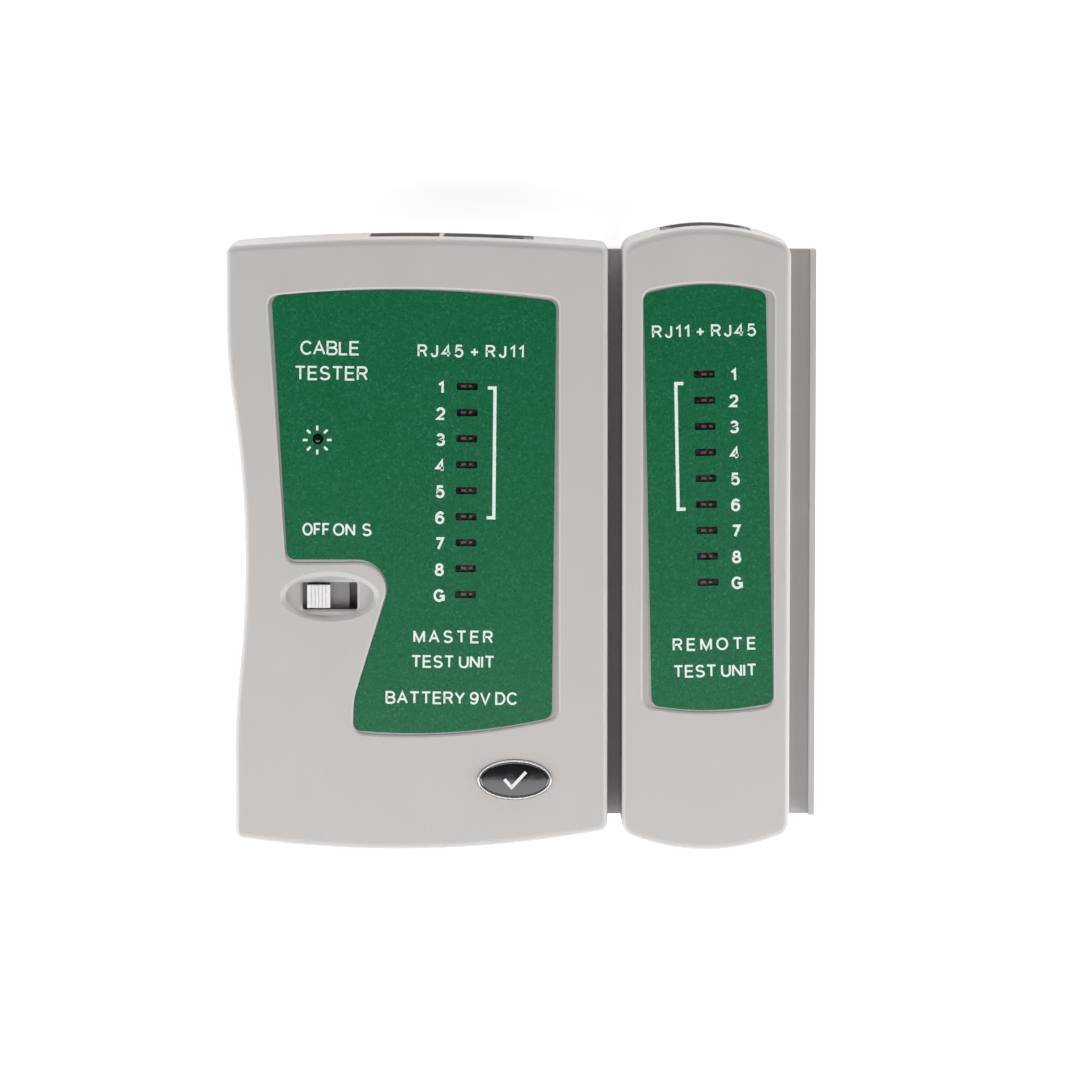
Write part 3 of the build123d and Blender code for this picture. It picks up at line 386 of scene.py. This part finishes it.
def battery_material():
    """Printed steel jacket: dark body, a coppery band at the terminal end, fine scuffs."""
    jacket = Surface("battery_jacket")
    low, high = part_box("battery")
    scuff = jacket.noise(1.1 * MM, detail=4, place=jacket.stretched(x=0.2))
    band_start = high.x - BATTERY_BAND
    band = jacket.span(jacket.along("X"), band_start, band_start + EDGE_BLUR)
    dark = jacket.blend(scuff, (0.020, 0.021, 0.024), (0.045, 0.047, 0.052))
    copper = jacket.blend(scuff, (0.52, 0.26, 0.10), (0.62, 0.34, 0.15))
    jacket.set(base_color=jacket.blend(band, dark, copper))
    jacket.set(metallic=jacket.span(band, 0.0, 1.0, 0.15, 0.85))
    jacket.set(roughness=jacket.span(scuff, 0.3, 0.75, 0.25, 0.45))
    jacket.bump(scuff, 0.01 * MM)


def lead_material(name, colour):
    """Soft vinyl wire jacket."""
    vinyl = Surface(name)
    wrinkle = vinyl.noise(0.5 * MM, detail=3)
    darker = tuple(part * 0.6 for part in colour)
    vinyl.set(base_color=vinyl.blend(wrinkle, colour, darker))
    vinyl.set(roughness=vinyl.span(wrinkle, 0.3, 0.7, 0.35, 0.5))
    vinyl.bump(wrinkle, 0.02 * MM)


def make_materials():
    """Rebuilds every material that the frame's nodes wear."""
    casing_material()
    label_material()
    lamp_material("lamp", (0.020, 0.008, 0.008))
    lamp_material("power_lamp", (0.020, 0.010, 0.007))
    dark_plastic("jack_plastic", (0.012, 0.012, 0.013), roughness=0.42, grain_size=0.5 * MM)
    dark_plastic("chip_plastic", (0.010, 0.010, 0.011), roughness=0.6, grain_size=0.3 * MM)
    dark_plastic("snap_plastic", (0.008, 0.008, 0.009), roughness=0.5, grain_size=0.8 * MM)
    metal("contact_wire", (0.83, 0.60, 0.27), roughness=0.22)
    metal("screw_steel", (0.62, 0.62, 0.60), roughness=0.3)
    metal("switch_steel", (0.42, 0.41, 0.40), roughness=0.35)
    metal("terminal_metal", (0.72, 0.71, 0.69), roughness=0.3)
    metal("battery_terminal", (0.70, 0.68, 0.64), roughness=0.25)
    metal("lamp_frame", (0.20, 0.13, 0.13), roughness=0.35)
    badge_rim_material()
    badge_dome_material()
    knob_material()
    switch_base_material()
    circuit_board_material()
    centre = middle("master_resistors").x
    banded_part("resistor_body", (0.55, 0.42, 0.26), (0.25, 0.05, 0.02), centre,
                pitch=1.1 * MM, band_width=0.45 * MM, gloss=0.35)
    cathode = middle("master_diodes").x + 1.0 * MM
    banded_part("diode_glass", (0.42, 0.13, 0.04), (0.01, 0.01, 0.01), cathode,
                pitch=12.0 * MM, band_width=0.6 * MM, gloss=0.12)
    capacitor_material()
    battery_material()
    lead_material("lead_red", (0.45, 0.012, 0.010))
    lead_material("lead_black", (0.012, 0.012, 0.012))


# ---------------------------------------------------------------- printing on the labels


def middle(node):
    """The middle of a node's box."""
    low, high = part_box(node)
    return (low + high) / 2


def arc(x, y, across, up, start, stop):
    """Points on an ellipse round (x, y), from one angle in degrees to another."""
    steps = max(4, round(abs(stop - start) / ARC_STEP))
    angles = [math.radians(start + (stop - start) * step / steps) for step in range(steps + 1)]
    return [(x + across * math.cos(angle), y + up * math.sin(angle)) for angle in angles]


# Plain capitals and figures as strokes, one unit high
GLYPHS = {
    "A": [[(0, 0), (0.42, 1), (0.84, 0)], [(0.15, 0.35), (0.69, 0.35)]],
    "B": [
        [(0, 0), (0, 1), (0.42, 1), *arc(0.42, 0.76, 0.26, 0.24, 90, -90), (0, 0.52)],
        [(0, 0.52), (0.45, 0.52), *arc(0.45, 0.26, 0.28, 0.26, 90, -90), (0, 0)],
    ],
    "C": [arc(0.43, 0.5, 0.43, 0.5, 38, 322)],
    "D": [[(0, 0), (0, 1), (0.34, 1), *arc(0.34, 0.5, 0.42, 0.5, 90, -90), (0, 0)]],
    "E": [[(0.66, 1), (0, 1), (0, 0), (0.68, 0)], [(0, 0.52), (0.61, 0.52)]],
    "F": [[(0.62, 1), (0, 1), (0, 0)], [(0, 0.5), (0.54, 0.5)]],
    "G": [arc(0.43, 0.5, 0.43, 0.5, 38, 335), [(0.47, 0.45), (0.85, 0.45), (0.85, 0)]],
    "I": [[(0, 0), (0, 1)]],
    "J": [[(0.5, 1), (0.5, 0.27), *arc(0.25, 0.27, 0.25, 0.27, 0, -180)]],
    "L": [[(0, 1), (0, 0), (0.6, 0)]],
    "M": [[(0, 0), (0, 1)], [(0, 1), (0.45, 0.03), (0.9, 1)], [(0.9, 0), (0.9, 1)]],
    "N": [[(0, 0), (0, 1)], [(0, 1), (0.74, 0)], [(0.74, 0), (0.74, 1)]],
    "O": [arc(0.46, 0.5, 0.46, 0.5, 0, 360)],
    "R": [[(0, 0), (0, 1), (0.43, 1), *arc(0.43, 0.75, 0.27, 0.25, 90, -90), (0, 0.5)],
          [(0.43, 0.5), (0.72, 0)]],
    "S": [[*arc(0.35, 0.75, 0.31, 0.25, 22, 270), *arc(0.35, 0.25, 0.35, 0.25, 90, -158)]],
    "T": [[(0, 1), (0.78, 1)], [(0.39, 1), (0.39, 0)]],
    "U": [[(0, 1), *arc(0.36, 0.33, 0.36, 0.33, 180, 360), (0.72, 1)]],
    "V": [[(0, 1), (0.4, 0), (0.8, 1)]],
    "Y": [[(0, 1), (0.4, 0.45), (0.8, 1)], [(0.4, 0.45), (0.4, 0)]],
    "1": [[(0, 0.74), (0.32, 1), (0.32, 0)]],
    "2": [[*arc(0.32, 0.69, 0.32, 0.31, 170, -35), (0, 0), (0.66, 0)]],
    "3": [[*arc(0.31, 0.76, 0.28, 0.24, 160, -90), *arc(0.31, 0.26, 0.33, 0.26, 90, -160)]],
    "4": [[(0.52, 0), (0.52, 1), (0, 0.27), (0.7, 0.27)]],
    "5": [[(0.6, 1), (0.12, 1), (0.04, 0.5), *arc(0.31, 0.33, 0.33, 0.33, 130, -155)]],
    "6": [arc(0.32, 0.31, 0.32, 0.31, 0, 360), arc(0.37, 0.5, 0.37, 0.5, 42, 190)],
    "7": [[(0, 1), (0.64, 1), (0.2, 0)]],
    "8": [arc(0.33, 0.77, 0.26, 0.23, 0, 360), arc(0.33, 0.27, 0.33, 0.27, 0, 360)],
    "9": [arc(0.32, 0.69, 0.32, 0.31, 0, 360), arc(0.27, 0.5, 0.37, 0.5, -138, 10)],
    "+": [[(0, 0.42), (0.64, 0.42)], [(0.32, 0.1), (0.32, 0.74)]],
}


def glyph_width(sign):
    """How far a glyph's strokes reach to the right, in capital heights."""
    return max(x for path in GLYPHS[sign] for x, _ in path)


class Print:
    """Raised strokes, gathered into one mesh; height gives the printed face's Z at a point."""

    def __init__(self, height):
        self.height = height
        self.points = []
        self.faces = []
        self.strokes = 0

    def stroke(self, path, width):
        """A flat ribbon along a path, with square ends; a path that ends where it began is closed."""
        path = [Vector(point) for point in path]
        steps = [math.inf] + [(b - a).length for a, b in zip(path, path[1:])]
        path = [point for point, step in zip(path, steps) if step > SAME_POINT]
        closed = (path[0] - path[-1]).length < SAME_POINT
        if closed:
            path.pop()
        count = len(path)
        base = len(self.points)
        lift = INK_THICKNESS + INK_STEP * (self.strokes % INK_LAYERS)
        self.strokes += 1
        for i, point in enumerate(path):
            before = path[i - 1] if closed or i else point * 2 - path[1]
            after = path[(i + 1) % count] if closed or i < count - 1 else point * 2 - path[-2]
            arriving = (point - before).normalized()
            leaving = (after - point).normalized()
            along = (arriving + leaving).normalized()
            across = Vector((-along.y, along.x)) * width / 2
            across *= min(1 / max(along.dot(leaving), 0.1), INK_SHARPEST)
            for side in (point + across, point - across):
                face = self.height(side.x, side.y)
                self.points += [(side.x, side.y, face + lift), (side.x, side.y, face - INK_SUNK)]
        for i in range(count if closed else count - 1):
            here = base + 4 * i
            there = base + 4 * ((i + 1) % count)
            for a, b in ((2, 0), (0, 1), (1, 3), (3, 2)):
                self.faces.append((here + a, there + a, there + b, here + b))
        if not closed:
            end = base + 4 * (count - 1)
            self.faces.append((base, base + 1, base + 3, base + 2))
            self.faces.append((end + 2, end + 3, end + 1, end))

    def words(self, text, centre, height, width=None, thickness=WORD_STROKE):
        """Words of this capital height, centred on a point and spread or squeezed to this width."""
        unit = height - thickness
        letters = text.replace(" ", "")
        fixed = len(letters) * thickness + SPACE * text.count(" ")
        broad = unit * sum(glyph_width(sign) for sign in letters)
        narrowing = 1
        gap = 0
        if width:
            gaps = len(letters) - 1
            narrowing = min(1, (width - fixed - gaps * LEAST_GAP) / broad)
            gap = (width - fixed - narrowing * broad) / gaps
        x = centre.x - (width or fixed + broad) / 2 + thickness / 2
        y = centre.y - unit / 2
        for sign in text:
            if sign == " ":
                x += SPACE
                continue
            for path in GLYPHS[sign]:
                self.stroke([(x + px * unit * narrowing, y + py * unit) for px, py in path], thickness)
            x += glyph_width(sign) * unit * narrowing + thickness + gap

    def bracket(self, spine_x, arm_x, low_y, high_y):
        """A square bracket: a spine at spine_x whose two arms reach to arm_x."""
        half = BRACKET_STROKE / 2
        low = low_y + half
        high = high_y - half
        self.stroke([(arm_x, low), (spine_x, low), (spine_x, high), (arm_x, high)], BRACKET_STROKE)

    def turn(self, centre, angle):
        """Turns everything so far about the vertical line through centre."""
        rotation = Matrix.Rotation(angle, 2)
        for i, (x, y, z) in enumerate(self.points):
            moved = rotation @ Vector((x - centre.x, y - centre.y))
            self.points[i] = (centre.x + moved.x, centre.y + moved.y, z)

    def finish(self, name, body, material):
        """Makes the piece, riding with its body."""
        mesh = bpy.data.meshes.new(name)
        mesh.from_pydata(self.points, [], self.faces)
        mesh.materials.append(material)
        thing = bpy.data.objects.new(name, mesh)
        bpy.context.scene.collection.objects.link(thing)
        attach(thing, body)


def lamp_frames(name, body, lamps, metal_look):
    """What shows of the metal frame in each lamp's flat top: a broad anvil and a narrower post."""
    frames = Print(lambda x, y: lamps[0].z)
    for index, lamp in enumerate(lamps):
        lean = LAMP_FRAME_LEAN * MM * math.sin(2.4 * index)
        for centre, half, width in (LAMP_ANVIL, LAMP_POST):
            x = lamp.x + centre * MM
            y = lamp.y - LAMP_FRAME_DROP * MM
            frames.stroke([(x - half * MM, y - lean), (x, y), (x + half * MM, y + lean)], width * MM)
            frames.stroke([(x - half * MM * 0.6, y), (x + half * MM * 0.6, y)], width * MM * 0.45)
    frames.finish(name, body, metal_look)


def tops(prefix):
    """The middle of each lamp's flat top, in the order of their marks."""
    places = []
    for mark in LAMP_MARKS:
        low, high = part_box(f"{prefix}_led_{mark}")
        places.append(Vector(((low.x + high.x) / 2, (low.y + high.y) / 2, high.z)))
    return places


def master_printing(ink, lamps):
    """Everything printed on the master's label, placed from its lamps and its switch."""
    low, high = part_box("master_label")
    power = middle("power_led")
    knob = middle("switch_knob")
    first = lamps[0]
    last = lamps[-1]
    sheet = Print(lambda x, y: high.z)
    for text, anchor, (right, up), height, width in [
        ("CABLE", power, (1.9, 15.2), TITLE_HEIGHT, 9.9 * MM),
        ("TESTER", power, (2.1, 11.0), TITLE_HEIGHT, 12.2 * MM),
        ("RJ45 + RJ11", first, (0.5, 5.9), CAPITAL_HEIGHT, 17.7 * MM),
        ("OFF", knob, (-0.35, 11.1), CAPITAL_HEIGHT, 4.6 * MM),
        ("ON", knob, (4.3, 11.1), CAPITAL_HEIGHT, 3.7 * MM),
        ("S", knob, (8.1, 11.1), CAPITAL_HEIGHT, None),
        ("MASTER", last, (-2.0, -7.1), CAPITAL_HEIGHT, 13.3 * MM),
        ("TEST UNIT", last, (-2.0, -11.3), CAPITAL_HEIGHT, 14.0 * MM),
        ("BATTERY 9V DC", last, (-2.2, -17.4), CAPITAL_HEIGHT, 22.0 * MM),
    ]:
        sheet.words(text, anchor + Vector((right, up, 0)) * MM, height, width)
    for mark, lamp in zip(LAMP_MARKS.upper(), lamps):
        place = lamp + Vector((-4.4, -0.2, 0)) * MM
        sheet.words(mark, place, NUMERAL_HEIGHT, thickness=NUMERAL_STROKE)
    low_end = lamps[BRACKET_LAST].y - 0.4 * MM
    sheet.bracket(first.x + 4.6 * MM, first.x + 3.4 * MM, low_end, first.y + 0.1 * MM)
    sheet.turn((low + high) / 2, MASTER_LABEL_TURN)
    sheet.finish("master_legend", "master", ink)

    rays = Print(lambda x, y: high.z)
    for number in range(RAY_COUNT):
        angle = math.tau * number / RAY_COUNT
        out = Vector((math.cos(angle), math.sin(angle))) * MM
        rays.stroke([power.xy + out * radius for radius in RAY_RADII], RAY_STROKE)
    rays.finish("power_lamp_rays", "master", ink)


def remote_printing(ink, lamps):
    """Everything printed on the remote's label, placed from its lamps."""
    low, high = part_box("remote_label")
    first = lamps[0]
    last = lamps[-1]
    sheet = Print(lambda x, y: high.z)
    for text, anchor, (right, up), width in [
        ("RJ11 + RJ45", first, (0.1, 7.2), 17.3 * MM),
        ("REMOTE", last, (0.9, -10.4), 14.0 * MM),
        ("TEST UNIT", last, (0.9, -14.9), 14.0 * MM),
    ]:
        sheet.words(text, anchor + Vector((right, up, 0)) * MM, CAPITAL_HEIGHT, width)
    for mark, lamp in zip(LAMP_MARKS.upper(), lamps):
        place = lamp + Vector((4.85, -0.2, 0)) * MM
        sheet.words(mark, place, NUMERAL_HEIGHT, thickness=NUMERAL_STROKE)
    low_end = lamps[BRACKET_LAST].y - 1.0 * MM
    sheet.bracket(first.x - 4.75 * MM, first.x - 3.5 * MM, low_end, first.y - 1.2 * MM)
    sheet.turn((low + high) / 2, REMOTE_LABEL_TURN)
    sheet.finish("remote_legend", "remote", ink)


def badge_mark(ink):
    """A plain tick that follows the badge's dome."""
    tree = BVHTree.FromObject(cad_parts["badge_dome"], bpy.context.evaluated_depsgraph_get())

    def dome_top(x, y):
        hit, _, _, _ = tree.ray_cast(Vector((x, y, 1.0)), Vector((0, 0, -1)))
        return hit.z

    centre = middle("badge_dome").xy
    start, turn, end = [centre + Vector(corner) * MM for corner in TICK_CORNERS]
    path = [start.lerp(turn, step / TICK_STEPS) for step in range(TICK_STEPS)]
    path += [turn.lerp(end, step / TICK_STEPS) for step in range(TICK_STEPS + 1)]
    tick = Print(dome_top)
    tick.stroke(path, TICK_STROKE)
    tick.finish("badge_tick", "master", ink)


# ---------------------------------------------------------------- room, lights and camera


def floor():
    """A pale sheet just under the part, which glows a little so that no shadow darkens it."""
    half = FLOOR_SIZE / 2
    mesh = bpy.data.meshes.new("floor")
    corners = [(-half, -half), (half, -half), (half, half), (-half, half)]
    mesh.from_pydata([(x, y, -FLOOR_GAP) for x, y in corners], [], [(0, 1, 2, 3)])
    paper = Surface("floor")
    fibre = paper.noise(60 * MM, detail=3)
    paper.set(base_color=paper.blend(fibre, (0.90, 0.90, 0.90), (0.93, 0.93, 0.93)))
    paper.set(roughness=0.9)
    paper.set(emission_color=(1.0, 1.0, 1.0), emission_strength=FLOOR_GLOW)
    mesh.materials.append(paper.material)
    sheet = bpy.data.objects.new("floor", mesh)
    bpy.context.scene.collection.objects.link(sheet)


def soft_box(name, place, width, height, power, aim=(0.0, 0.0, 0.0)):
    """A rectangular studio light at place, facing aim, which is the part unless said otherwise."""
    lamp = bpy.data.lights.new(name, "AREA")
    lamp.shape = "RECTANGLE"
    lamp.size = width
    lamp.size_y = height
    lamp.energy = power
    holder = bpy.data.objects.new(name, lamp)
    bpy.context.scene.collection.objects.link(holder)
    holder.location = place
    holder.rotation_euler = (Vector(aim) - Vector(place)).to_track_quat("-Z", "Y").to_euler()


def studio_walls():
    """The room round the table: pale at eye level and dark overhead."""
    world = bpy.data.worlds.new("studio")
    bpy.context.scene.world = world
    world.use_nodes = True
    nodes = world.node_tree.nodes
    links = world.node_tree.links
    direction = nodes.new("ShaderNodeTexCoord")
    height = nodes.new("ShaderNodeSeparateXYZ")
    fade = nodes.new("ShaderNodeMapRange")
    links.new(direction.outputs["Generated"], height.inputs["Vector"])
    links.new(height.outputs["Z"], fade.inputs["Value"])
    fade.inputs["From Min"].default_value = WALL_TOP
    fade.inputs["From Max"].default_value = CEILING_FROM
    fade.inputs["To Min"].default_value = WALL_GLOW
    fade.inputs["To Max"].default_value = CEILING_GLOW
    background = nodes["Background"]
    background.inputs["Color"].default_value = (1.0, 1.0, 1.0, 1.0)
    links.new(fade.outputs["Result"], background.inputs["Strength"])


def lights():
    """A panel overhead on the battery side, soft boxes at the sides, and a low strip behind the sockets."""
    studio_walls()
    soft_box("panel", PANEL_PLACE, width=0.6, height=0.4, power=1.85, aim=PANEL_AIM)
    x, y, z = SIDE_BOX_PLACE
    for name, place in (("left_box", (-x, y, z)), ("right_box", (x, y, z))):
        soft_box(name, place, width=0.4, height=0.25, power=2.3)
    soft_box("strip", STRIP_PLACE, width=0.6, height=0.15, power=0.95)


def camera():
    """Looks almost straight down on the front face, from slightly towards the sockets."""
    high = cad_box[1]
    seen = bpy.data.cameras.new("camera")
    seen.sensor_width = SENSOR_WIDTH
    target = Vector((PICTURE_MIDDLE.x, PICTURE_MIDDLE.y, high.z))
    place = target + Vector((0, CAMERA_TOWARDS_SOCKETS, CAMERA_HEIGHT))
    away = (target - place).length
    seen.lens = SENSOR_WIDTH * away / PICTURE_WIDTH
    seen.clip_start = 0.01
    holder = bpy.data.objects.new("camera", seen)
    bpy.context.scene.collection.objects.link(holder)
    backwards = (place - target).normalized()
    sideways = Vector((0, 1, 0)).cross(backwards).normalized()
    upwards = backwards.cross(sideways)
    facing = Matrix((sideways, upwards, backwards)).transposed()
    holder.matrix_world = Matrix.Translation(place) @ facing.to_4x4()
    bpy.context.scene.camera = holder


make_materials()
white_ink = ink_material()
master_lamps = tops("master")
remote_lamps = tops("remote")
frame_metal = bpy.data.materials["lamp_frame"]
lamp_frames("master_lamp_frames", "master", master_lamps, frame_metal)
lamp_frames("remote_lamp_frames", "remote", remote_lamps, frame_metal)
master_printing(white_ink, master_lamps)
remote_printing(white_ink, remote_lamps)
badge_mark(white_ink)
floor()
lights()
camera()
bpy.context.scene.view_settings.view_transform = "Standard"
